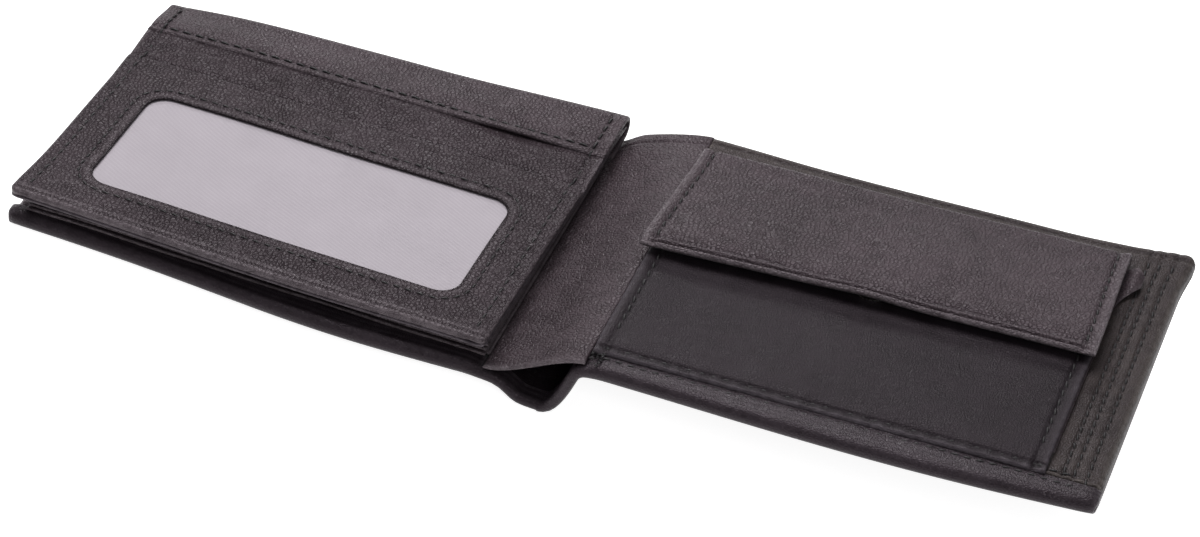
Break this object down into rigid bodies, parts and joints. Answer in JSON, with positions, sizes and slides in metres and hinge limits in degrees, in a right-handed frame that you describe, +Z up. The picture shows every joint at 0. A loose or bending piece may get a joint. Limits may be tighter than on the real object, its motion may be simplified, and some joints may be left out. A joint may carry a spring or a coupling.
{
  "type": "trifold wallet",
  "caption": "Open black leather wallet with a wide fold, card slots under a fold-over mesh-window leaf, and a flapped coin pocket with a press stud.",
  "frame": {"origin": "middle of the flat line on which the bulged fold rests on the table, with the wallet lying open", "axes": "+X along the opened wallet towards the coin pocket leaf, +Y from the sewn edge to the banknote opening, +Z up"},
  "size_m": [0.2606, 0.0959, 0.033],
  "materials": {
    "cover_leather": "smooth full-grain black leather, fine grain, soft satin sheen",
    "inner_leather": "smooth charcoal leather, fine grain, satin",
    "lining_cloth": "black twill lining",
    "window_mesh": "light grey fine mesh cloth",
    "thread": "black waxed thread",
    "press_stud": "nickel-plated press stud"
  },
  "bodies": {
    "left_leaf": {"left_cover": "cover_leather", "left_lining": "lining_cloth", "left_inner_panel": "inner_leather", "card_slot_back": "inner_leather", "card_slot_middle": "inner_leather", "card_slot_front": "inner_leather", "window_hinge_anchor": "cover_leather", "left_seam_thread": "thread"},
    "fold": {"fold_cover": "cover_leather", "fold_lining": "inner_leather"},
    "right_leaf": {"right_cover": "cover_leather", "right_lining": "lining_cloth", "right_inner_panel": "inner_leather", "coin_pocket_back": "lining_cloth", "coin_pocket_gussets": "inner_leather", "coin_pocket_front": "inner_leather", "snap_stud": "press_stud", "snap_rivet": "press_stud", "coin_pocket_thread": "thread", "right_seam_thread": "thread", "bar_tacks": "thread"},
    "window_leaf": {"window_leaf_back": "cover_leather", "window_mesh": "window_mesh", "window_frame": "inner_leather", "window_leaf_slot": "inner_leather", "window_leaf_top_strip": "inner_leather", "window_hinge_band": "cover_leather", "window_thread": "thread", "window_leaf_thread": "thread"},
    "coin_flap": {"coin_flap_outer": "inner_leather", "coin_flap_lining": "lining_cloth", "snap_socket": "press_stud", "snap_cap": "press_stud", "coin_flap_thread": "thread"}
  },
  "joints": [
    {"name": "left_crease", "type": "hinge", "parent": "left_leaf", "child": "fold", "pos_m": [-0.01399, 0, 0.0065], "axis": [0, -1, 0], "range_deg": [-1, 63.48]},
    {"name": "right_crease", "type": "hinge", "parent": "fold", "child": "right_leaf", "pos_m": [0.00873, 0, 0.01868], "axis": [0, -1, 0], "range_deg": [-1.86, 117.22]},
    {"name": "window_leaf_fold", "type": "hinge", "parent": "left_leaf", "child": "window_leaf", "pos_m": [-0.07412, 0.045, 0.01013], "axis": [-0.9996, 0, -0.0294], "range_deg": [0, 175]},
    {"name": "coin_flap_fold", "type": "hinge", "parent": "right_leaf", "child": "coin_flap", "pos_m": [0.06234, 0.0375, 0.02558], "axis": [-0.9962, 0, -0.0872], "range_deg": [0, 170]}
  ],
  "couplings": [
    {"joint": "right_crease", "follows": "left_crease", "ratio": 1.8463}
  ]
}
